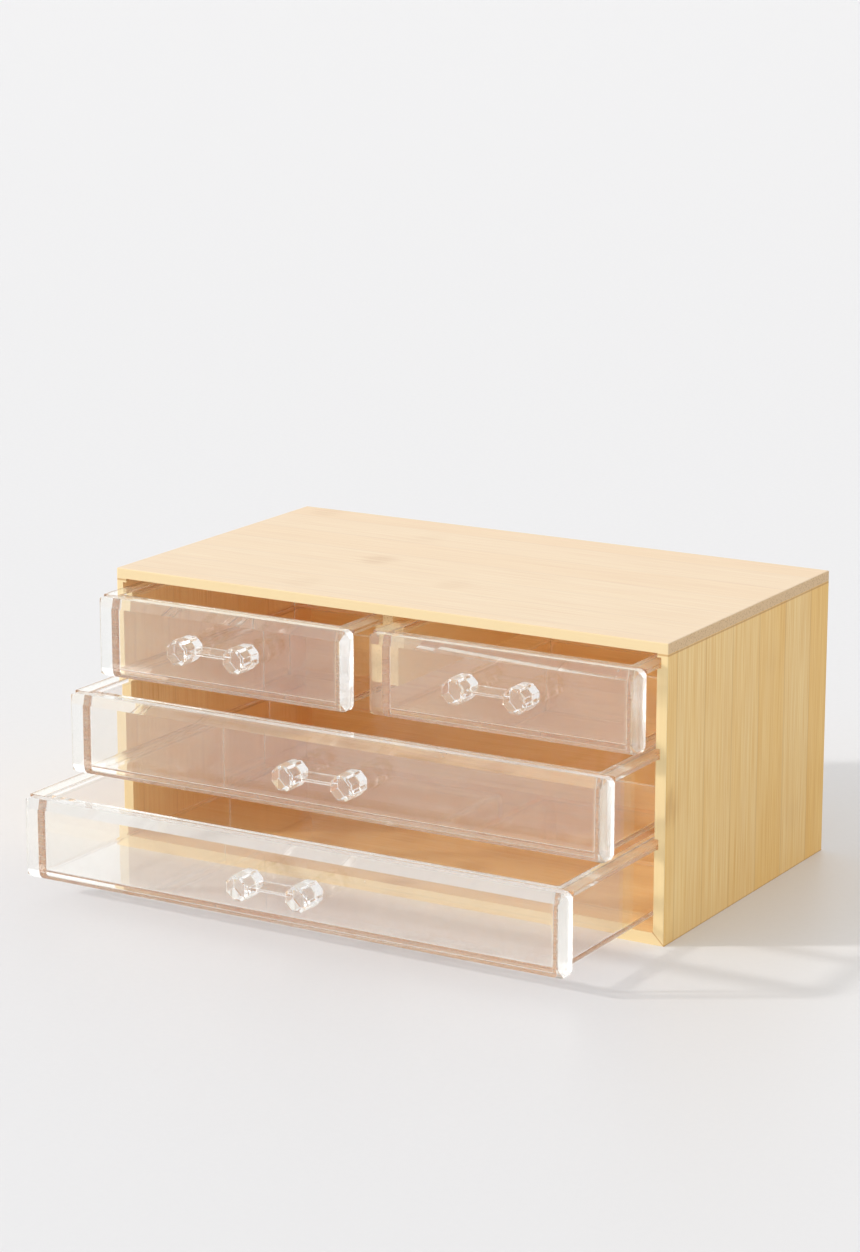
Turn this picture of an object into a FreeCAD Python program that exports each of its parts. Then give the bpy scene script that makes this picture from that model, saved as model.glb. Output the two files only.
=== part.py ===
"""Bamboo makeup organizer: an open-fronted bamboo case with four clear drawers.

Frame: +Z up, the drawers open towards -Y, +X to the right when facing them.
The origin is the centre of the case's underside. Sizes are in millimetres.
"""
import FreeCAD
import Part
import math
import os

# Case
CASE_WIDTH = 240.0
CASE_DEPTH = 137.0
CASE_HEIGHT = 113.0
SIDE_THICKNESS = 4.5
BOTTOM_THICKNESS = 4.5
TOP_THICKNESS = 4.0
BACK_THICKNESS = 4.0
EASED_EDGE = 0.5

# Runner grooves, milled into the side panels and the divider
GROOVE_HEIGHT = 4.0
SIDE_GROOVE_DEPTH = 1.6

# Divider between the two small drawers, hung under the top panel
DIVIDER_WIDTH = 10.8
DIVIDER_HEIGHT = 27.0
DIVIDER_WEB = 4.4
DIVIDER_SETBACK = 5.5

# Clear drawers
ROWS = 3
GAP_UNDER_LOWEST = 2.5
GAP_BETWEEN_ROWS = 2.75
GAP_OVER_HIGHEST = 3.5
GAP_TO_SIDE = 4.1
GAP_TO_DIVIDER = 3.0
GAP_TO_BACK = 7.4
TRAY_WALL = 2.2
TRAY_FLOOR = 2.2
TRAY_FRONT_WALL = 2.6
TRAY_EDGE_RADIUS = 2.0
TRAY_INNER_RADIUS = 0.6
RUNNER_THICKNESS = 1.8
RUNNER_CLEARANCE = 0.2
RUNNER_TIP_PLAY_SIDE = 0.5
RUNNER_TIP_PLAY_DIVIDER = 1.0

# Plate on the front of each drawer: its ends are bevelled more steeply than its top and bottom edges
PLATE_THICKNESS = 5.7
END_BEVEL_WIDTH = 2.6
END_BEVEL_DEPTH = 3.1
LONG_BEVEL_WIDTH = 3.6
LONG_BEVEL_DEPTH = 2.1
PLATE_CORNER_RADIUS = 3.0
GLUE_FILM = 0.4
CLOSED_GAP = 0.2

# Handle: two eight-sided knobs joined by a flat strap
KNOB_SPACING = 25.4
KNOB_ACROSS = 9.3
KNOB_LENGTH = 11.5
KNOB_FACE_ACROSS = 7.5
KNOB_FACE_BEVEL = 0.9
KNOB_FOOT_ACROSS = 8.5
KNOB_FOOT_BEVEL = 0.4
KNOB_SIDES = 8
HANDLE_GLUE_FILM = 0.1
STRAP_THICKNESS = 1.3
STRAP_FRONT_SETBACK = 1.5
STRAP_REAR_GAP = 0.7
STRAP_RISE = 0.5
STRAP_EDGE = 0.25

# Where each handle is glued, to the right of its plate's middle and above it
HANDLE_OFFSET = {
    "top_left": (1.4, 1.4),
    "top_right": (-0.3, 1.5),
    "middle": (1.2, 0.0),
    "bottom": (0.9, 0.0),
}

# How far each drawer stands open
OPENING = {"top_left": 13.4, "top_right": 10.1, "middle": 33.2, "bottom": 63.2}

# A cutting block runs this far past the face that it breaks through
OVERCUT = 1.0
# Two coordinates that differ by less count as the same
SAME = 0.01

FRONT_Y = -CASE_DEPTH / 2.0
BACK_Y = CASE_DEPTH / 2.0
HALF_WIDTH = CASE_WIDTH / 2.0
INNER_HALF_WIDTH = HALF_WIDTH - SIDE_THICKNESS
UNDER_TOP = CASE_HEIGHT - TOP_THICKNESS
BACK_PANEL_Y = BACK_Y - BACK_THICKNESS
GAPS_IN_HEIGHT = GAP_UNDER_LOWEST + GAP_BETWEEN_ROWS * (ROWS - 1) + GAP_OVER_HIGHEST
DRAWER_HEIGHT = (UNDER_TOP - BOTTOM_THICKNESS - GAPS_IN_HEIGHT) / ROWS
ROW_PITCH = DRAWER_HEIGHT + GAP_BETWEEN_ROWS
LOWEST_DRAWER_Z = BOTTOM_THICKNESS + GAP_UNDER_LOWEST
SIDE_TIP_X = INNER_HALF_WIDTH + SIDE_GROOVE_DEPTH - RUNNER_TIP_PLAY_SIDE
SIDE_WALL_X = INNER_HALF_WIDTH - GAP_TO_SIDE
DIVIDER_TIP_X = DIVIDER_WEB / 2.0 + RUNNER_TIP_PLAY_DIVIDER
DIVIDER_WALL_X = DIVIDER_WIDTH / 2.0 + GAP_TO_DIVIDER

os.makedirs("parts", exist_ok=True)


def save(name, shape):
    """Write one finished piece."""
    shape.exportStep("parts/" + name + ".step")


def block(x0, x1, y0, y1, z0, z1):
    """A box between two corners."""
    return Part.makeBox(x1 - x0, y1 - y0, z1 - z0, FreeCAD.Vector(x0, y0, z0))


def bar_along_y(outline, y0, y1):
    """An outline of (x, z) points carried from y0 to y1."""
    points = [FreeCAD.Vector(x, y0, z) for x, z in outline]
    face = Part.Face(Part.makePolygon(points + points[:1]))
    return face.extrude(FreeCAD.Vector(0, y1 - y0, 0))


def round_edges(shape, radius, chosen):
    """Round each edge whose middle point passes the test."""
    edges = [edge for edge in shape.Edges if chosen(edge.CenterOfMass)]
    return shape.makeFillet(radius, edges)


def near(a, b):
    """True if two coordinates are the same."""
    return abs(a - b) < SAME


def drawer_floor_z(row):
    """Underside of the drawers of one row; row 0 is the lowest."""
    return LOWEST_DRAWER_Z + row * ROW_PITCH


def groove_floor_z(row):
    """Floor of the runner grooves that carry one row."""
    return drawer_floor_z(row) + DRAWER_HEIGHT - RUNNER_THICKNESS - RUNNER_CLEARANCE


def bottom_panel():
    """Bottom board, mitred to the side panels at both ends."""
    outline = [
        (-HALF_WIDTH, 0),
        (HALF_WIDTH, 0),
        (INNER_HALF_WIDTH, BOTTOM_THICKNESS),
        (-INNER_HALF_WIDTH, BOTTOM_THICKNESS),
    ]
    return bar_along_y(outline, FRONT_Y, BACK_Y)


def right_side_panel():
    """Side board: mitred at the foot, with one runner groove for each row."""
    outline = [
        (HALF_WIDTH, 0),
        (HALF_WIDTH, UNDER_TOP),
        (INNER_HALF_WIDTH, UNDER_TOP),
        (INNER_HALF_WIDTH, BOTTOM_THICKNESS),
    ]
    panel = bar_along_y(outline, FRONT_Y, BACK_Y)
    for row in range(ROWS):
        floor = groove_floor_z(row)
        groove = block(
            INNER_HALF_WIDTH - OVERCUT, INNER_HALF_WIDTH + SIDE_GROOVE_DEPTH,
            FRONT_Y - OVERCUT, BACK_PANEL_Y,
            floor, floor + GROOVE_HEIGHT,
        )
        panel = panel.cut(groove)
    return round_edges(panel, EASED_EDGE, lambda m: near(m.x, HALF_WIDTH) and near(abs(m.y), BACK_Y))


def mirrored(shape):
    """The left-hand twin of a right-hand piece."""
    return shape.mirror(FreeCAD.Vector(0, 0, 0), FreeCAD.Vector(1, 0, 0))


def top_panel():
    """Top board, laid over both sides, its outer edges eased."""
    panel = block(-HALF_WIDTH, HALF_WIDTH, FRONT_Y, BACK_Y, UNDER_TOP, CASE_HEIGHT)
    return round_edges(panel, EASED_EDGE, lambda m: m.z > UNDER_TOP + SAME)


def back_panel():
    """Back board, let in between the sides, the top and the bottom."""
    return block(
        -INNER_HALF_WIDTH, INNER_HALF_WIDTH,
        BACK_PANEL_Y, BACK_Y,
        BOTTOM_THICKNESS, UNDER_TOP,
    )


def centre_divider():
    """Batten under the top panel, grooved on both sides for the small drawers."""
    half = DIVIDER_WIDTH / 2.0
    front = FRONT_Y + DIVIDER_SETBACK
    batten = block(-half, half, front, BACK_PANEL_Y, UNDER_TOP - DIVIDER_HEIGHT, UNDER_TOP)
    floor = groove_floor_z(ROWS - 1)
    right_groove = block(
        DIVIDER_WEB / 2.0, half + OVERCUT,
        front - OVERCUT, BACK_PANEL_Y + OVERCUT,
        floor, floor + GROOVE_HEIGHT,
    )
    return batten.cut(right_groove).cut(mirrored(right_groove))


def drawer_tray(x0, x1, tip0, tip1, row, opening):
    """Open tray with a runner along the top of each side.

    x0 and x1 are the outer faces of its side walls, tip0 and tip1 the runners' outer edges.
    """
    floor_z = drawer_floor_z(row)
    top_z = floor_z + DRAWER_HEIGHT
    front = FRONT_Y - CLOSED_GAP + GLUE_FILM - opening
    back = BACK_PANEL_Y - GAP_TO_BACK - opening
    body = block(x0, x1, front, back, floor_z, top_z)
    body = round_edges(body, TRAY_EDGE_RADIUS, lambda m: near(m.z, floor_z) and not near(m.y, front))
    hollow = block(
        x0 + TRAY_WALL, x1 - TRAY_WALL,
        front + TRAY_FRONT_WALL, back - TRAY_WALL,
        floor_z + TRAY_FLOOR, top_z + OVERCUT,
    )
    hollow = round_edges(hollow, TRAY_INNER_RADIUS, lambda m: not near(m.z, top_z + OVERCUT))
    tray = body.cut(hollow)
    for edge0, edge1 in ((tip0, x0), (x1, tip1)):
        runner = block(edge0, edge1, front, back, top_z - RUNNER_THICKNESS, top_z)
        tray = tray.fuse(runner)
    return tray.removeSplitter()


def rounded_rectangle(x0, x1, z0, z1, radius, y):
    """Closed wire of four quarter arcs and the four lines between them, square to Y."""
    quarters = [
        (x1 - radius, z0 + radius, -90.0),
        (x1 - radius, z1 - radius, 0.0),
        (x0 + radius, z1 - radius, 90.0),
        (x0 + radius, z0 + radius, 180.0),
    ]
    arcs = []
    for centre_x, centre_z, start in quarters:
        points = []
        for turn in (0.0, 45.0, 90.0):
            angle = math.radians(start + turn)
            x = centre_x + radius * math.cos(angle)
            z = centre_z + radius * math.sin(angle)
            points.append(FreeCAD.Vector(x, y, z))
        arcs.append(points)
    edges = []
    for points, following in zip(arcs, arcs[1:] + arcs[:1]):
        edges.append(Part.Arc(*points).toShape())
        edges.append(Part.LineSegment(points[-1], following[0]).toShape())
    return Part.Wire(edges)


def bevelled_section(low, high, back, width, depth):
    """Cross-section of a plate from low to high, with y second: both front corners are bevelled."""
    front = back - PLATE_THICKNESS
    return [
        (low, back),
        (high, back),
        (high, front + depth),
        (high - width, front),
        (low + width, front),
        (low, front + depth),
    ]


def front_plate(tip0, tip1, row, opening):
    """Plate with all four front edges bevelled; its ends reach past the tray to cover the runners."""
    z0 = drawer_floor_z(row)
    z1 = z0 + DRAWER_HEIGHT
    back = FRONT_Y - CLOSED_GAP - opening
    outline = rounded_rectangle(tip0, tip1, z0, z1, PLATE_CORNER_RADIUS, back)
    plate = Part.Face(outline).extrude(FreeCAD.Vector(0, -PLATE_THICKNESS, 0))
    section = bevelled_section(tip0, tip1, back, END_BEVEL_WIDTH, END_BEVEL_DEPTH)
    points = [FreeCAD.Vector(x, y, z0) for x, y in section]
    end_bevels = Part.Face(Part.makePolygon(points + points[:1])).extrude(FreeCAD.Vector(0, 0, z1 - z0))
    section = bevelled_section(z0, z1, back, LONG_BEVEL_WIDTH, LONG_BEVEL_DEPTH)
    points = [FreeCAD.Vector(tip0, y, z) for z, y in section]
    long_bevels = Part.Face(Part.makePolygon(points + points[:1])).extrude(FreeCAD.Vector(tip1 - tip0, 0, 0))
    return plate.common(end_bevels).common(long_bevels).removeSplitter()


def knob_ring(x, y, z, across):
    """Corners of a regular polygon square to Y, flat sides up, down, left and right."""
    radius = across / 2.0 / math.cos(math.pi / KNOB_SIDES)
    ring = []
    for i in range(KNOB_SIDES):
        angle = math.pi * (2 * i + 1) / KNOB_SIDES
        ring.append(FreeCAD.Vector(x + radius * math.cos(angle), y, z + radius * math.sin(angle)))
    return ring


def faceted_solid(rings):
    """Solid with flat facets between rings of corners, closed by the first and the last ring."""
    faces = [Part.Face(Part.makePolygon(rings[0] + rings[0][:1]))]
    faces.append(Part.Face(Part.makePolygon(rings[-1] + rings[-1][:1])))
    for low, high in zip(rings[:-1], rings[1:]):
        for i in range(len(low)):
            j = (i + 1) % len(low)
            faces.append(Part.Face(Part.makePolygon([low[i], low[j], high[j], high[i], low[i]])))
    solid = Part.Solid(Part.Shell(faces))
    if solid.Volume < 0:
        solid.reverse()
    return solid


def handle(plate_x, row, opening, offset):
    """Two knobs and the strap between them, on a drawer's front plate."""
    centre_x = plate_x + offset[0]
    z = drawer_floor_z(row) + DRAWER_HEIGHT / 2.0 + offset[1]
    foot = FRONT_Y - CLOSED_GAP - opening - PLATE_THICKNESS - HANDLE_GLUE_FILM
    face = foot - KNOB_LENGTH
    sections = [
        (foot, KNOB_FOOT_ACROSS),
        (foot - KNOB_FOOT_BEVEL, KNOB_ACROSS),
        (face + KNOB_FACE_BEVEL, KNOB_ACROSS),
        (face, KNOB_FACE_ACROSS),
    ]
    half_strap = KNOB_SPACING / 2.0 - KNOB_ACROSS / 2.0
    strap_z = z + STRAP_RISE
    strap = block(
        centre_x - half_strap, centre_x + half_strap,
        face + STRAP_FRONT_SETBACK, foot - STRAP_REAR_GAP,
        strap_z - STRAP_THICKNESS / 2.0, strap_z + STRAP_THICKNESS / 2.0,
    )
    long_edges = [edge for edge in strap.Edges if near(edge.CenterOfMass.x, centre_x)]
    strap = strap.makeChamfer(STRAP_EDGE, long_edges)
    whole = strap
    for side in (-0.5, 0.5):
        x = centre_x + side * KNOB_SPACING
        knob = faceted_solid([knob_ring(x, y, z, across) for y, across in sections])
        whole = whole.fuse(knob)
    return whole.removeSplitter()


save("top_panel", top_panel())
save("bottom_panel", bottom_panel())
save("right_side_panel", right_side_panel())
save("left_side_panel", mirrored(right_side_panel()))
save("back_panel", back_panel())
save("centre_divider", centre_divider())

# Each drawer: name, row, outer faces of its side walls, outer edges of its runners
DRAWERS = [
    ("top_left", 2, -SIDE_WALL_X, -DIVIDER_WALL_X, -SIDE_TIP_X, -DIVIDER_TIP_X),
    ("top_right", 2, DIVIDER_WALL_X, SIDE_WALL_X, DIVIDER_TIP_X, SIDE_TIP_X),
    ("middle", 1, -SIDE_WALL_X, SIDE_WALL_X, -SIDE_TIP_X, SIDE_TIP_X),
    ("bottom", 0, -SIDE_WALL_X, SIDE_WALL_X, -SIDE_TIP_X, SIDE_TIP_X),
]
for name, row, wall0, wall1, tip0, tip1 in DRAWERS:
    opening = OPENING[name]
    save(name + "_drawer_tray", drawer_tray(wall0, wall1, tip0, tip1, row, opening))
    save(name + "_drawer_front", front_plate(tip0, tip1, row, opening))
    save(name + "_drawer_handle", handle((tip0 + tip1) / 2.0, row, opening, HANDLE_OFFSET[name]))
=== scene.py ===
"""Bamboo makeup organizer with clear drawers: finishes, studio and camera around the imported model.

Laid out as an add-on and run as a script. Places are in metres in the model's own frame: the origin is the
centre of the case's underside, the drawers open towards -Y and +Z is up.
"""
import math

import bpy
from mathutils import Matrix, Vector

bl_info = {
    "name": "Bamboo makeup organizer",
    "version": (1, 0, 0),
    "blender": (4, 5, 0),
    "location": "3D Viewport > Sidebar > Organizer",
    "description": "Finishes the bamboo case and the clear drawers, and sets up their studio",
    "category": "Object",
}

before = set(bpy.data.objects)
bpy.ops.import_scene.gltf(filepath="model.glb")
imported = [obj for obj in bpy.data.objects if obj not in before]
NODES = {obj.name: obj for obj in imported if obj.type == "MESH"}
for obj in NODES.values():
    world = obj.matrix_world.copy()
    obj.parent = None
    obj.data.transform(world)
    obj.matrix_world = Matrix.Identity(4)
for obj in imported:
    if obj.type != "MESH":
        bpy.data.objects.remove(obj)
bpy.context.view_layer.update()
MM = 0.001
QUARTER = math.radians(90.0)
DRAWERS = ("top_left", "top_right", "middle", "bottom")

# Turn that brings a board's grain to X, its strips side by side along Y and its thickness to Z
TURN = {
    "along_x": (0.0, 0.0, 0.0),
    "along_x_upright": (-QUARTER, 0.0, 0.0),
    "along_y": (0.0, 0.0, -QUARTER),
    "along_z": (0.0, QUARTER, 0.0),
}

# Knuckles of each board in millimetres: along the grain, across it, and how dark from 0 to 1
TOP_KNUCKLES = ((-40, -5, 0.26), (-43, 40, 0.12), (8, -27, 0.12), (-44, -52, 0.12), (-105, 63, 0.2))
BOTTOM_KNUCKLES = ((-17, -18, 0.3), (22, -38, 0.4), (8, -68, 0.7), (-74, 20, 0.3), (70, 12, 0.3))
RIGHT_KNUCKLES = ((51, -67, 0.45), (88, 18, 0.08), (22, 41, 0.08))
LEFT_KNUCKLES = ((64, -50, 0.2), (20, -4, 0.2), (92, 41, 0.15))
BACK_KNUCKLES = ((-62, 18, 0.2), (34, 63, 0.2), (-8, 86, 0.15), (81, 40, 0.2))
DIVIDER_KNUCKLES = ((10, 0, 0.15),)

# Glue smears seen in each plate, in millimetres: centre (X, Z), half width, half height, strength
SMEARS = {
    "top_left": ((-77, 105.2, 1.0, 1.8, 0.9), (-70, 105.3, 1.2, 2.0, 0.7), (-10.7, 102.7, 4.0, 1.6, 0.6)),
    "top_right": ((106.6, 103.0, 2.6, 1.5, 0.8),),
    "middle": ((49.0, 70.2, 6.5, 1.0, 0.9),),
    "bottom": ((34.9, 30.1, 2.0, 0.9, 1.0),),
}

# Each board's grain, its knuckles, how pale it is from 0 to 1, and its glue seams: each is a plane given by
# the direction (right, 0, up) across it and that direction's product with any point of it, in millimetres.
# The paleness is partly the board's own tone and partly painted light: on the top it is a painted sheen of
# the bright room seen at a grazing angle, and on the bottom and back it stands in for light inside the case.
BOARDS = (
    ("top_panel", "along_x", TOP_KNUCKLES, 0.55, ()),
    ("bottom_panel", "along_x", BOTTOM_KNUCKLES, 0.2, ((1, 1, 120), (-1, 1, 120))),
    ("right_side_panel", "along_z", RIGHT_KNUCKLES, 0.0, ((1, 1, 120), (0, 1, 108.5))),
    ("left_side_panel", "along_z", LEFT_KNUCKLES, 0.25, ((-1, 1, 120), (0, 1, 108.5))),
    ("back_panel", "along_x_upright", BACK_KNUCKLES, 0.1, ()),
    ("centre_divider", "along_y", DIVIDER_KNUCKLES, 0.0, ()),
)

# Each part of a drawer: how far in its edges reach from the sides of its box in millimetres, how dusty it is
# all over, and how much more so at its edges. Both are a sheen that is partly a dusty film and partly
# painted:
# a painted reflection veil over the clear parts and a painted glare highlight at the trays' edges. A handle
# is all edge.
ALL_EDGE = (99.0, 99.0, 99.0)
CLEAR_PARTS = (
    ("_drawer_tray", (7.6, 2.6, 2.4), 0.0, 0.25),
    ("_drawer_front", (2.8, 6.0, 3.8), 0.16, 0.0),
    ("_drawer_handle", ALL_EDGE, 0.1, 0.0),
)

# Suns: the direction towards each, its strength, and how wide it looks in degrees
LAMPS = (
    ("key", (-0.789, -0.487, 0.375), 1.9, 3.0),
    ("fill", (-0.80, -0.57, 0.18), 0.55, 40.0),
)
CAMERA_RIGHT = Vector((0.8598, 0.5106, 0.0003))
CAMERA_AHEAD = Vector((-0.4961, 0.8355, -0.2364))
FLOOR_REACH = 30.0
BOUNCES = 128


def linear(code):
    """Linear red, green and blue of an sRGB hex colour."""
    values = [int(code[i:i + 2], 16) / 255 for i in (1, 3, 5)]
    return [v / 12.92 if v <= 0.04045 else ((v + 0.055) / 1.055) ** 2.4 for v in values]


def add_node(tree, kind, inputs=None, **settings):
    """Adds a node, applies its settings, and links or sets its inputs."""
    node = tree.nodes.new(kind)
    for name, value in settings.items():
        setattr(node, name, value)
    for key, value in (inputs or {}).items():
        if isinstance(value, bpy.types.NodeSocket):
            tree.links.new(value, node.inputs[key])
        else:
            node.inputs[key].default_value = value
    return node


def new_material(name):
    """An empty node material and its tree."""
    material = bpy.data.materials.new(name)
    material.use_nodes = True
    material.node_tree.nodes.clear()
    return material, material.node_tree


def dress(name, material):
    """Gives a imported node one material."""
    piece = NODES[name]
    piece.data.materials.clear()
    piece.data.materials.append(material)


class BambooSettings(bpy.types.PropertyGroup):
    strip_width: bpy.props.FloatProperty(
        name="Strip width", description="Width of one pressed bamboo strip",
        default=22.7 * MM, unit="LENGTH", precision=4)
    joint_place: bpy.props.FloatProperty(
        name="Joint place", description="Where one glue joint lies across the boards, from the middle",
        default=6.9 * MM, unit="LENGTH", precision=4)
    joint_width: bpy.props.FloatProperty(
        name="Joint width", description="Width of the dark line at a glue joint",
        default=0.7 * MM, unit="LENGTH", precision=5)
    fibre_width: bpy.props.FloatProperty(
        name="Fibre width", description="Spacing of the fine fibres across the grain",
        default=0.5 * MM, unit="LENGTH", precision=5)
    bundle_width: bpy.props.FloatProperty(
        name="Bundle width", description="Spacing of the broad streaks across the grain",
        default=2.4 * MM, unit="LENGTH", precision=4)
    fibre_length: bpy.props.FloatProperty(
        name="Fibre length", description="How far the fine fibres run before they change",
        default=40.0 * MM, unit="LENGTH", precision=4)
    bundle_length: bpy.props.FloatProperty(
        name="Bundle length", description="How far the broad streaks run before they change",
        default=120.0 * MM, unit="LENGTH", precision=4)
    cloud_width: bpy.props.FloatProperty(
        name="Cloud width", description="Spacing of the slow changes of tone across the grain",
        default=9.0 * MM, unit="LENGTH", precision=4)
    cloud_length: bpy.props.FloatProperty(
        name="Cloud length", description="Spacing of the slow changes of tone along the grain",
        default=60.0 * MM, unit="LENGTH", precision=4)
    pore_spacing: bpy.props.FloatProperty(
        name="Pore spacing", description="Distance between the cut bundles in the end grain",
        default=0.9 * MM, unit="LENGTH", precision=5)
    relief: bpy.props.FloatProperty(
        name="Relief", description="How proud the fibres stand",
        default=0.05 * MM, unit="LENGTH", precision=6)
    fraying: bpy.props.FloatProperty(
        name="Fraying", description="How far a culm joint's mark is frayed along the grain",
        default=30.0 * MM, unit="LENGTH", precision=4)
    knuckle_length: bpy.props.FloatProperty(
        name="Knuckle length", description="Length of a culm joint's mark along the grain",
        default=18.0 * MM, unit="LENGTH", precision=4)
    light: bpy.props.FloatVectorProperty(
        name="Light wood", description="The palest strips", subtype="COLOR", default=linear("#F9DA9B"))
    warm: bpy.props.FloatVectorProperty(
        name="Warm wood", description="The body of the deeper strips", subtype="COLOR",
        default=linear("#F6CA76"))
    streak: bpy.props.FloatVectorProperty(
        name="Streaks", description="Darker fibre bundles", subtype="COLOR", default=linear("#E0A64C"))
    joint: bpy.props.FloatVectorProperty(
        name="Glue joints", description="Line between two strips", subtype="COLOR",
        default=linear("#B98448"))
    knuckle: bpy.props.FloatVectorProperty(
        name="Knuckles", description="The ring where the culm had a joint", subtype="COLOR",
        default=linear("#B0722F"))
    # Boards are mixed towards this colour partly for their own tone and partly as painted light (a painted
    # sheen on the top)
    pale: bpy.props.FloatVectorProperty(
        name="Pale board", description="What the palest board tends to", subtype="COLOR",
        default=linear("#E4D6CA"))
    # Long edges: partly the planed wood's own tone, partly a painted highlight of the light on the front
    # edges
    edge: bpy.props.FloatVectorProperty(
        name="Long edges", description="Planed long edges of the boards", subtype="COLOR",
        default=linear("#E9D2A2"))
    end_grain: bpy.props.FloatVectorProperty(
        name="End grain", description="Cut ends of the boards", subtype="COLOR", default=linear("#DDBB8C"))
    pores: bpy.props.FloatVectorProperty(
        name="Pores", description="Cut fibre bundles in the end grain", subtype="COLOR",
        default=linear("#A57C4C"))


class PlasticSettings(bpy.types.PropertyGroup):
    ior: bpy.props.FloatProperty(
        name="IOR", description="Refractive index of polystyrene", default=1.59)
    tint: bpy.props.FloatVectorProperty(
        name="Tint", description="What each face lets through", subtype="COLOR", default=linear("#FFFFFE"))
    # Colour of the sheen: partly a dusty film, partly a painted reflection veil
    dust_and_painted_sheen: bpy.props.FloatVectorProperty(
        name="Dust", description="Colour of the dust on it", subtype="COLOR", default=(0.92, 1.0, 0.86))
    end_blur: bpy.props.FloatProperty(
        name="End blur", description="Roughness of the less well polished bevels at the plates' ends",
        default=0.15)
    dust_and_sheen_patch: bpy.props.FloatProperty(
        name="Dust patches", description="Spacing of the thicker patches of dust",
        default=6.0 * MM, unit="LENGTH", precision=4)
    speck: bpy.props.FloatProperty(
        name="Specks", description="Spacing of the specks in the glue smears",
        default=1.2 * MM, unit="LENGTH", precision=4)


class StageSettings(bpy.types.PropertyGroup):
    floor: bpy.props.FloatVectorProperty(
        name="Floor", description="Pale sweep under the object", subtype="COLOR", default=linear("#E3E3E5"))
    tooth_spacing: bpy.props.FloatProperty(
        name="Tooth spacing", description="Spacing of the paper's tooth",
        default=2.5 * MM, unit="LENGTH", precision=4)
    tooth_depth: bpy.props.FloatProperty(
        name="Tooth depth", description="Depth of the paper's tooth",
        default=0.03 * MM, unit="LENGTH", precision=6)
    lamp_colour: bpy.props.FloatVectorProperty(
        name="Lamps", description="Colour of both suns", subtype="COLOR", default=(1.0, 0.98, 0.95))
    ambient: bpy.props.FloatProperty(
        name="Room light", description="Strength of the light from all round", default=0.83)
    camera_place: bpy.props.FloatVectorProperty(
        name="Camera place", description="Where the camera stands", subtype="TRANSLATION",
        default=(0.6597, -1.1432, 0.4113))
    camera_lens: bpy.props.FloatProperty(
        name="Focal length", description="In millimetres, for a 36 mm long side", default=100.35)


def smudges(tree, place, marks):
    """Share from 0 to 1 of soft ovals in the plane of X and Y.

    Each mark is its centre, its two half lengths and its strength.
    """
    share = 0.0
    for centre_x, centre_y, half_x, half_y, strength in marks:
        local = add_node(tree, "ShaderNodeMapping", {
            "Vector": place,
            "Location": (-centre_x / half_x, -centre_y / half_y, 0.0),
            "Scale": (1.0 / half_x, 1.0 / half_y, 0.0)}).outputs[0]
        reach = add_node(tree, "ShaderNodeVectorMath", {0: local}, operation="LENGTH")
        soft = add_node(tree, "ShaderNodeMapRange", {
            "Value": reach.outputs["Value"], "From Min": 1.0, "From Max": 0.3, "To Max": strength},
            interpolation_type="SMOOTHSTEP")
        share = add_node(tree, "ShaderNodeMath", {
            0: soft.outputs[0], 1: share}, operation="MAXIMUM").outputs[0]
    return share


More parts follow.
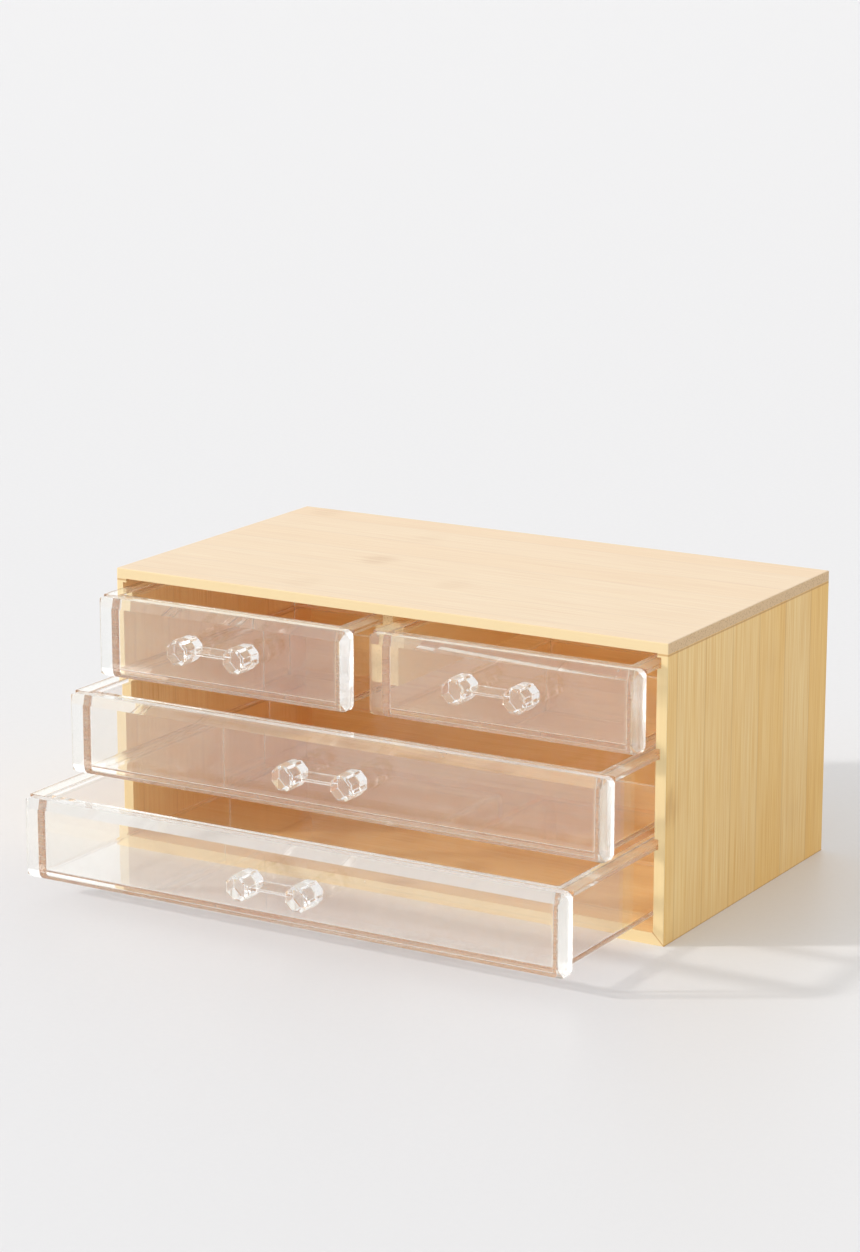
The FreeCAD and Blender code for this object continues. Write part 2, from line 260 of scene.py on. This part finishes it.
def bamboo(name, turn, knuckles, paleness_and_painted_light, seams):
    """Flat-pressed bamboo board, planed and given a satin lacquer.

    Pale yellow strips side by side, each its own tone, with fine darker fibres along the grain, a thin brown
    line at each glue joint, brown knuckles, speckled brown ends and paler long edges. The long edges'
    paleness is partly their own tone and partly a painted highlight, and the whole board is paled by a share
    that is partly its tone and partly painted light.
    """
    b = bpy.context.scene.organizer_bamboo
    material, tree = new_material(name)
    texture = add_node(tree, "ShaderNodeTexCoord").outputs
    place = add_node(tree, "ShaderNodeMapping", {"Vector": texture["Object"], "Rotation": turn}).outputs[0]
    facing = add_node(tree, "ShaderNodeMapping", {"Vector": texture["Normal"], "Rotation": turn}).outputs[0]
    facing = add_node(tree, "ShaderNodeVectorMath", {0: facing}, operation="ABSOLUTE").outputs[0]
    facing = add_node(tree, "ShaderNodeSeparateXYZ", {0: facing}).outputs

    # Strips: a number and a tone for each, and a line where two meet
    across = add_node(tree, "ShaderNodeSeparateXYZ", {0: place}).outputs["Y"]
    strips = add_node(tree, "ShaderNodeMath", {
        0: across, 1: 1.0 / b.strip_width, 2: -b.joint_place / b.strip_width},
        operation="MULTIPLY_ADD").outputs[0]
    number = add_node(tree, "ShaderNodeMath", {0: strips}, operation="FLOOR").outputs[0]
    chance = add_node(tree, "ShaderNodeTexWhiteNoise", {"W": number}, noise_dimensions="1D").outputs["Value"]
    joint = add_node(tree, "ShaderNodeMath", {0: strips}, operation="FRACT").outputs[0]
    joint = add_node(tree, "ShaderNodeMath", {0: joint, 1: 0.5}, operation="SUBTRACT").outputs[0]
    joint = add_node(tree, "ShaderNodeMath", {0: joint}, operation="ABSOLUTE").outputs[0]
    joint_share = b.joint_width / b.strip_width
    joint = add_node(tree, "ShaderNodeMapRange", {
        "Value": joint, "From Min": 0.5 - joint_share, "From Max": 0.5, "To Max": 0.25},
        interpolation_type="SMOOTHSTEP").outputs[0]

    # Three sizes of streak, all stretched along the grain
    streaks = []
    for width, length in (
        (b.fibre_width, b.fibre_length),
        (b.bundle_width, b.bundle_length),
        (b.cloud_width, b.cloud_length),
    ):
        stretched = add_node(tree, "ShaderNodeMapping", {
            "Vector": place, "Scale": (1.0 / length, 1.0 / width, 1.0 / width)})
        streaks.append(add_node(tree, "ShaderNodeTexNoise", {
            "Vector": stretched.outputs[0], "W": number, "Scale": 1.0, "Detail": 2.0, "Roughness": 0.6},
            noise_dimensions="4D").outputs["Fac"])
    fine, bundle, cloud = streaks
    depth = add_node(tree, "ShaderNodeMix", {0: 0.5, 2: chance, 3: cloud}, data_type="FLOAT").outputs[0]
    depth = add_node(tree, "ShaderNodeMapRange", {
        "Value": depth, "From Min": 0.2, "From Max": 0.8}).outputs[0]
    colour = add_node(tree, "ShaderNodeMix", {
        0: depth, 6: (*b.light, 1), 7: (*b.warm, 1)}, data_type="RGBA").outputs[2]
    for streak, low, high, most in ((bundle, 0.45, 0.7, 0.3), (fine, 0.42, 0.66, 0.55)):
        dark = add_node(tree, "ShaderNodeMapRange", {
            "Value": streak, "From Min": low, "From Max": high, "To Max": most}).outputs[0]
        colour = add_node(tree, "ShaderNodeMix", {
            0: dark, 6: colour, 7: (*b.streak, 1)}, data_type="RGBA").outputs[2]
    colour = add_node(tree, "ShaderNodeMix", {
        0: joint, 6: colour, 7: (*b.joint, 1)}, data_type="RGBA").outputs[2]
    # Paled towards the pale colour: partly the board's own tone, partly painted light
    colour = add_node(tree, "ShaderNodeMix", {
        0: paleness_and_painted_light, 6: colour, 7: (*b.pale, 1)}, data_type="RGBA").outputs[2]

    # Knuckles: smudges as wide as most of a strip, frayed along the grain and broken up by its streaks
    frayed = add_node(tree, "ShaderNodeCombineXYZ", {
        "X": add_node(tree, "ShaderNodeMath", {0: fine, 1: -0.5}, operation="ADD").outputs[0]}).outputs[0]
    shifted = add_node(tree, "ShaderNodeVectorMath", {
        0: frayed, 1: (b.fraying, 0.0, 0.0), 2: place}, operation="MULTIPLY_ADD").outputs[0]
    half_length, half_width = b.knuckle_length / 2, b.strip_width * 0.5
    marks = [(along * MM, aside * MM, half_length, half_width, dark) for along, aside, dark in knuckles]
    knuckle = smudges(tree, shifted, marks)
    gaps = add_node(tree, "ShaderNodeMapRange", {
        "Value": bundle, "From Min": 0.35, "From Max": 0.6, "To Min": 0.35}).outputs[0]
    knuckle = add_node(tree, "ShaderNodeMath", {0: knuckle, 1: gaps}, operation="MULTIPLY").outputs[0]
    colour = add_node(tree, "ShaderNodeMix", {
        0: knuckle, 6: colour, 7: (*b.knuckle, 1)}, data_type="RGBA").outputs[2]

    # Long edges are paler, partly the planed wood's own tone and partly a painted highlight of the light on
    # the front edges; ends are brown with a dot for each cut bundle
    edge = add_node(tree, "ShaderNodeMapRange", {
        "Value": facing["Y"], "From Min": 0.6, "From Max": 0.9, "To Max": 0.8}).outputs[0]
    colour = add_node(tree, "ShaderNodeMix", {
        0: edge, 6: colour, 7: (*b.edge, 1)}, data_type="RGBA").outputs[2]
    dots = add_node(tree, "ShaderNodeTexVoronoi", {
        "Vector": place, "Scale": 1.0 / b.pore_spacing}).outputs["Distance"]
    dots = add_node(tree, "ShaderNodeMapRange", {
        "Value": dots, "From Min": 0.45, "From Max": 0.15, "To Max": 0.6}).outputs[0]
    ends = add_node(tree, "ShaderNodeMix", {
        0: dots, 6: (*b.end_grain, 1), 7: (*b.pores, 1)}, data_type="RGBA").outputs[2]
    cut = add_node(tree, "ShaderNodeMapRange", {
        "Value": facing["X"], "From Min": 0.6, "From Max": 0.9, "To Max": 0.85}).outputs[0]
    colour = add_node(tree, "ShaderNodeMix", {0: cut, 6: colour, 7: ends}, data_type="RGBA").outputs[2]

    # Glue seams towards the neighbouring boards
    for right, up, distance in seams:
        away = add_node(tree, "ShaderNodeVectorMath", {
            0: texture["Object"], 1: (right, 0, up)}, operation="DOT_PRODUCT").outputs["Value"]
        away = add_node(tree, "ShaderNodeMath", {0: away, 1: distance * MM}, operation="SUBTRACT").outputs[0]
        away = add_node(tree, "ShaderNodeMath", {0: away}, operation="ABSOLUTE").outputs[0]
        seam = add_node(tree, "ShaderNodeMapRange", {
            "Value": away, "From Min": 0.5 * MM, "From Max": 0.1 * MM, "To Max": 0.6}).outputs[0]
        colour = add_node(tree, "ShaderNodeMix", {
            0: seam, 6: colour, 7: (*b.knuckle, 1)}, data_type="RGBA").outputs[2]

    # Fibres stand a little proud under the lacquer and break up its sheen
    roughness = add_node(tree, "ShaderNodeMapRange", {
        "Value": fine, "From Min": 0.3, "From Max": 0.7, "To Min": 0.36, "To Max": 0.5}).outputs[0]
    height = add_node(tree, "ShaderNodeMath", {
        0: joint, 1: -0.8, 2: fine}, operation="MULTIPLY_ADD").outputs[0]
    bump = add_node(tree, "ShaderNodeBump", {
        "Height": height, "Distance": b.relief, "Strength": 0.8}).outputs[0]
    shader = add_node(tree, "ShaderNodeBsdfPrincipled", {
        "Base Color": colour, "Roughness": roughness, "IOR": 1.5, "Specular IOR Level": 0.25, "Normal": bump,
        "Coat Weight": 0.12, "Coat Roughness": 0.25})
    add_node(tree, "ShaderNodeOutputMaterial", {"Surface": shader.outputs[0]})
    return material


def clear_plastic(name, edge_reach, dust_and_painted_sheen, edge_painted_sheen, smears=()):
    """Crystal polystyrene, injection moulded in a polished tool.

    Clear as glass with a hard gloss. A sheen veils it unevenly: partly a thin dusty film and partly a painted
    sheen that stands in for the room's reflections and, at a tray's edges, a painted highlight for the glare
    they catch. A plate shows small frosted smears of glue, and the bevels at a plate's ends are a little
    rough. Lamps pass straight through but for the edges, which bend their light away. The edges reach in from
    the sides of the piece's box by edge_reach, in millimetres.
    """
    p = bpy.context.scene.organizer_plastic
    material, tree = new_material("clear_polystyrene_" + name)
    corners = [Vector(corner) for corner in NODES[name].bound_box]
    low = Vector(map(min, zip(*corners)))
    high = Vector(map(max, zip(*corners)))
    texture = add_node(tree, "ShaderNodeTexCoord").outputs
    place = add_node(tree, "ShaderNodeMapping", {
        "Vector": texture["Object"], "Rotation": TURN["along_x_upright"]}).outputs[0]
    patches = add_node(tree, "ShaderNodeTexNoise", {
        "Vector": texture["Object"], "Scale": 1.0 / p.dust_and_sheen_patch, "Detail": 2.0}).outputs["Fac"]
    patches = add_node(tree, "ShaderNodeMapRange", {
        "Value": patches, "From Min": 0.3, "From Max": 0.7, "To Min": 0.6, "To Max": 1.4}).outputs[0]
    inward = add_node(tree, "ShaderNodeVectorMath", {
        0: texture["Object"], 1: (low + high) / 2}, operation="SUBTRACT").outputs[0]
    inward = add_node(tree, "ShaderNodeVectorMath", {0: inward}, operation="ABSOLUTE").outputs[0]
    inward = add_node(tree, "ShaderNodeVectorMath", {
        0: inward, 1: (high - low) / 2 - Vector(edge_reach) * MM}, operation="SUBTRACT").outputs[0]
    near = add_node(tree, "ShaderNodeVectorMath", {0: inward}, operation="SIGN").outputs[0]
    near_end = add_node(tree, "ShaderNodeSeparateXYZ", {0: near}).outputs["X"]
    near = add_node(tree, "ShaderNodeVectorMath", {
        0: near, 1: (1, 1, 1)}, operation="DOT_PRODUCT").outputs["Value"]
    edge = add_node(tree, "ShaderNodeMath", {0: near, 1: 0.0}, operation="GREATER_THAN").outputs[0]
    behind = add_node(tree, "ShaderNodeNewGeometry").outputs["Backfacing"]
    outside = add_node(tree, "ShaderNodeMath", {0: 1.0, 1: behind}, operation="SUBTRACT").outputs[0]
    # Sheen weight: a dusty film all over and more at the edges, which is also painted: a painted reflection
    # veil and a painted glare highlight at the trays' edges
    haze_and_painted_sheen = add_node(tree, "ShaderNodeMath", {
        0: edge, 1: edge_painted_sheen, 2: dust_and_painted_sheen}, operation="MULTIPLY_ADD").outputs[0]
    haze_and_painted_sheen = add_node(tree, "ShaderNodeMath", {0: outside, 1: haze_and_painted_sheen}, operation="MULTIPLY").outputs[0]
    haze_and_painted_sheen = add_node(tree, "ShaderNodeMath", {0: patches, 1: haze_and_painted_sheen}, operation="MULTIPLY").outputs[0]
    glass_inputs = {
        "Base Color": (*p.tint, 1), "Roughness": 0.0, "IOR": p.ior, "Transmission Weight": 1.0,
        "Sheen Weight": haze_and_painted_sheen, "Sheen Roughness": 0.9, "Sheen Tint": (*p.dust_and_painted_sheen, 1)}
    if smears:
        specks = add_node(tree, "ShaderNodeTexNoise", {
            "Vector": texture["Object"], "Scale": 1.0 / p.speck, "Detail": 1.0}).outputs["Fac"]
        specks = add_node(tree, "ShaderNodeMapRange", {
            "Value": specks, "From Min": 0.45, "From Max": 0.6, "To Max": 0.35}).outputs[0]
        smear = smudges(tree, place, smears)
        blur = add_node(tree, "ShaderNodeMapRange", {"Value": near_end, "To Max": p.end_blur}).outputs[0]
        glass_inputs["Roughness"] = add_node(tree, "ShaderNodeMath", {
            0: smear, 1: specks, 2: blur}, operation="MULTIPLY_ADD").outputs[0]
    glass = add_node(tree, "ShaderNodeBsdfPrincipled", glass_inputs)
    passes = add_node(tree, "ShaderNodeMath", {0: edge, 1: -0.5, 2: 1.0}, operation="MULTIPLY_ADD").outputs[0]
    clear = add_node(tree, "ShaderNodeBsdfTransparent", {"Color": (1, 1, 1, 1)})
    shaded = add_node(tree, "ShaderNodeBsdfTransparent", {"Color": passes})
    path = add_node(tree, "ShaderNodeLightPath").outputs
    for_bounces = add_node(tree, "ShaderNodeMixShader", {
        0: path["Is Diffuse Ray"], 1: glass.outputs[0], 2: clear.outputs[0]})
    for_lamps = add_node(tree, "ShaderNodeMixShader", {
        0: path["Is Shadow Ray"], 1: for_bounces.outputs[0], 2: shaded.outputs[0]})
    add_node(tree, "ShaderNodeOutputMaterial", {"Surface": for_lamps.outputs[0]})
    return material


def sweep_paper(name):
    """Matt white background paper: an even pale grey with a faint tooth and a weak sheen."""
    s = bpy.context.scene.organizer_stage
    material, tree = new_material(name)
    place = add_node(tree, "ShaderNodeTexCoord").outputs["Object"]
    tooth = add_node(tree, "ShaderNodeTexNoise", {
        "Vector": place, "Scale": 1.0 / s.tooth_spacing, "Detail": 3.0}).outputs["Fac"]
    roughness = add_node(tree, "ShaderNodeMapRange", {
        "Value": tooth, "From Min": 0.3, "From Max": 0.7, "To Min": 0.42, "To Max": 0.55}).outputs[0]
    bump = add_node(tree, "ShaderNodeBump", {
        "Height": tooth, "Distance": s.tooth_depth, "Strength": 0.6}).outputs[0]
    shader = add_node(tree, "ShaderNodeBsdfPrincipled", {
        "Base Color": (*s.floor, 1), "Roughness": roughness, "Normal": bump})
    add_node(tree, "ShaderNodeOutputMaterial", {"Surface": shader.outputs[0]})
    return material


class ORGANIZER_OT_boards(bpy.types.Operator):
    """Finish the six bamboo boards of the case"""
    bl_idname = "organizer.boards"
    bl_label = "Bamboo boards"

    def execute(self, context):
        for board, turn, knuckles, paleness_and_painted_light, seams in BOARDS:
            dress(board, bamboo("bamboo_" + board, TURN[turn], knuckles, paleness_and_painted_light, seams))
        return {"FINISHED"}


class ORGANIZER_OT_drawers(bpy.types.Operator):
    """Finish the clear trays, fronts and handles"""
    bl_idname = "organizer.drawers"
    bl_label = "Clear drawers"

    def execute(self, context):
        for drawer in DRAWERS:
            smears = [[length * MM for length in mark[:4]] + [mark[4]] for mark in SMEARS[drawer]]
            for part, edge_reach, dust_and_painted_sheen, edge_painted_sheen in CLEAR_PARTS:
                glue = smears if part == "_drawer_front" else ()
                dress(drawer + part, clear_plastic(drawer + part, edge_reach, dust_and_painted_sheen, edge_painted_sheen, glue))
        return {"FINISHED"}


class ORGANIZER_OT_stage(bpy.types.Operator):
    """Set up the floor, the lights and the camera"""
    bl_idname = "organizer.stage"
    bl_label = "Studio"

    def execute(self, context):
        s = context.scene.organizer_stage
        mesh = bpy.data.meshes.new("floor")
        corners = [(x * FLOOR_REACH, y * FLOOR_REACH, 0) for x, y in ((-1, -1), (1, -1), (1, 1), (-1, 1))]
        mesh.from_pydata(corners, [], [(0, 1, 2, 3)])
        floor = bpy.data.objects.new("floor", mesh)
        context.scene.collection.objects.link(floor)
        mesh.materials.append(sweep_paper("white_sweep_paper"))

        world = bpy.data.worlds.new("studio")
        context.scene.world = world
        world.use_nodes = True
        tree = world.node_tree
        tree.nodes.clear()
        direction = add_node(tree, "ShaderNodeTexCoord").outputs["Generated"]
        side = add_node(tree, "ShaderNodeVectorMath", {
            0: direction, 1: (-0.75, 0.35, 0.45)}, operation="DOT_PRODUCT").outputs["Value"]
        bright = add_node(tree, "ShaderNodeMapRange", {
            "Value": side, "From Min": -0.8, "From Max": 0.6}, interpolation_type="SMOOTHSTEP").outputs[0]
        colour = add_node(tree, "ShaderNodeMix", {
            0: bright, 6: (0.66, 0.64, 0.64, 1), 7: (1.15, 1.15, 1.15, 1)}, data_type="RGBA").outputs[2]
        mirrored = add_node(tree, "ShaderNodeBackground", {"Color": colour, "Strength": 1.0})
        soft = add_node(tree, "ShaderNodeVectorMath", {
            0: direction, 1: (0.0, 0.0, 1.0)}, operation="DOT_PRODUCT").outputs["Value"]
        soft = add_node(tree, "ShaderNodeMath", {
            0: soft, 1: 0.2, 2: 0.87}, operation="MULTIPLY_ADD").outputs[0]
        soft = add_node(tree, "ShaderNodeMath", {0: soft, 1: s.ambient}, operation="MULTIPLY").outputs[0]
        even = add_node(tree, "ShaderNodeBackground", {
            "Color": (0.99, 0.99, 0.985, 1), "Strength": soft})
        path = add_node(tree, "ShaderNodeLightPath").outputs
        sharp = add_node(tree, "ShaderNodeMath", {
            0: path["Is Glossy Ray"], 1: path["Is Transmission Ray"]}, operation="MAXIMUM").outputs[0]
        both = add_node(tree, "ShaderNodeMixShader", {
            0: sharp, 1: even.outputs[0], 2: mirrored.outputs[0]})
        add_node(tree, "ShaderNodeOutputWorld", {"Surface": both.outputs[0]})

        for name, towards, strength, spread in LAMPS:
            lamp = bpy.data.lights.new(name, "SUN")
            lamp.energy = strength
            lamp.angle = math.radians(spread)
            lamp.color = s.lamp_colour
            holder = bpy.data.objects.new(name, lamp)
            holder.rotation_mode = "QUATERNION"
            holder.rotation_quaternion = Vector(towards).to_track_quat("Z", "Y")
            context.scene.collection.objects.link(holder)

        camera = bpy.data.cameras.new("camera")
        camera.sensor_width = 36.0
        camera.lens = s.camera_lens
        camera.clip_end = 100.0
        holder = bpy.data.objects.new("camera", camera)
        right, ahead = CAMERA_RIGHT.normalized(), CAMERA_AHEAD.normalized()
        up = right.cross(ahead)
        turn = Matrix((right, up, -ahead)).transposed()
        holder.matrix_world = Matrix.Translation(s.camera_place) @ turn.to_4x4()
        context.scene.collection.objects.link(holder)
        context.scene.camera = holder

        scene = context.scene
        scene.view_settings.view_transform = "Standard"
        scene.view_settings.look = "None"
        cycles = scene.cycles
        cycles.max_bounces = BOUNCES
        cycles.transmission_bounces = BOUNCES
        cycles.glossy_bounces = BOUNCES
        cycles.diffuse_bounces = 12
        cycles.transparent_max_bounces = 48
        cycles.caustics_reflective = False
        cycles.caustics_refractive = False
        return {"FINISHED"}


class ORGANIZER_PT_panel(bpy.types.Panel):
    """The steps, each under its settings"""
    bl_idname = "ORGANIZER_PT_panel"
    bl_label = "Organizer"
    bl_space_type = "VIEW_3D"
    bl_region_type = "UI"
    bl_category = "Organizer"

    def draw(self, context):
        for (group, settings), step in zip(GROUPS.items(), STEPS):
            for name in settings.__annotations__:
                self.layout.prop(getattr(context.scene, group), name)
            self.layout.operator(step.bl_idname)


GROUPS = {
    "organizer_bamboo": BambooSettings,
    "organizer_plastic": PlasticSettings,
    "organizer_stage": StageSettings,
}
STEPS = (ORGANIZER_OT_boards, ORGANIZER_OT_drawers, ORGANIZER_OT_stage)


def register():
    for cls in (*GROUPS.values(), *STEPS, ORGANIZER_PT_panel):
        bpy.utils.register_class(cls)
    for name, cls in GROUPS.items():
        setattr(bpy.types.Scene, name, bpy.props.PointerProperty(type=cls))


def unregister():
    for name in GROUPS:
        delattr(bpy.types.Scene, name)
    for cls in reversed((*GROUPS.values(), *STEPS, ORGANIZER_PT_panel)):
        bpy.utils.unregister_class(cls)


def main():
    register()
    bpy.ops.organizer.boards()
    bpy.ops.organizer.drawers()
    bpy.ops.organizer.stage()


if __name__ == "__main__":
    main()
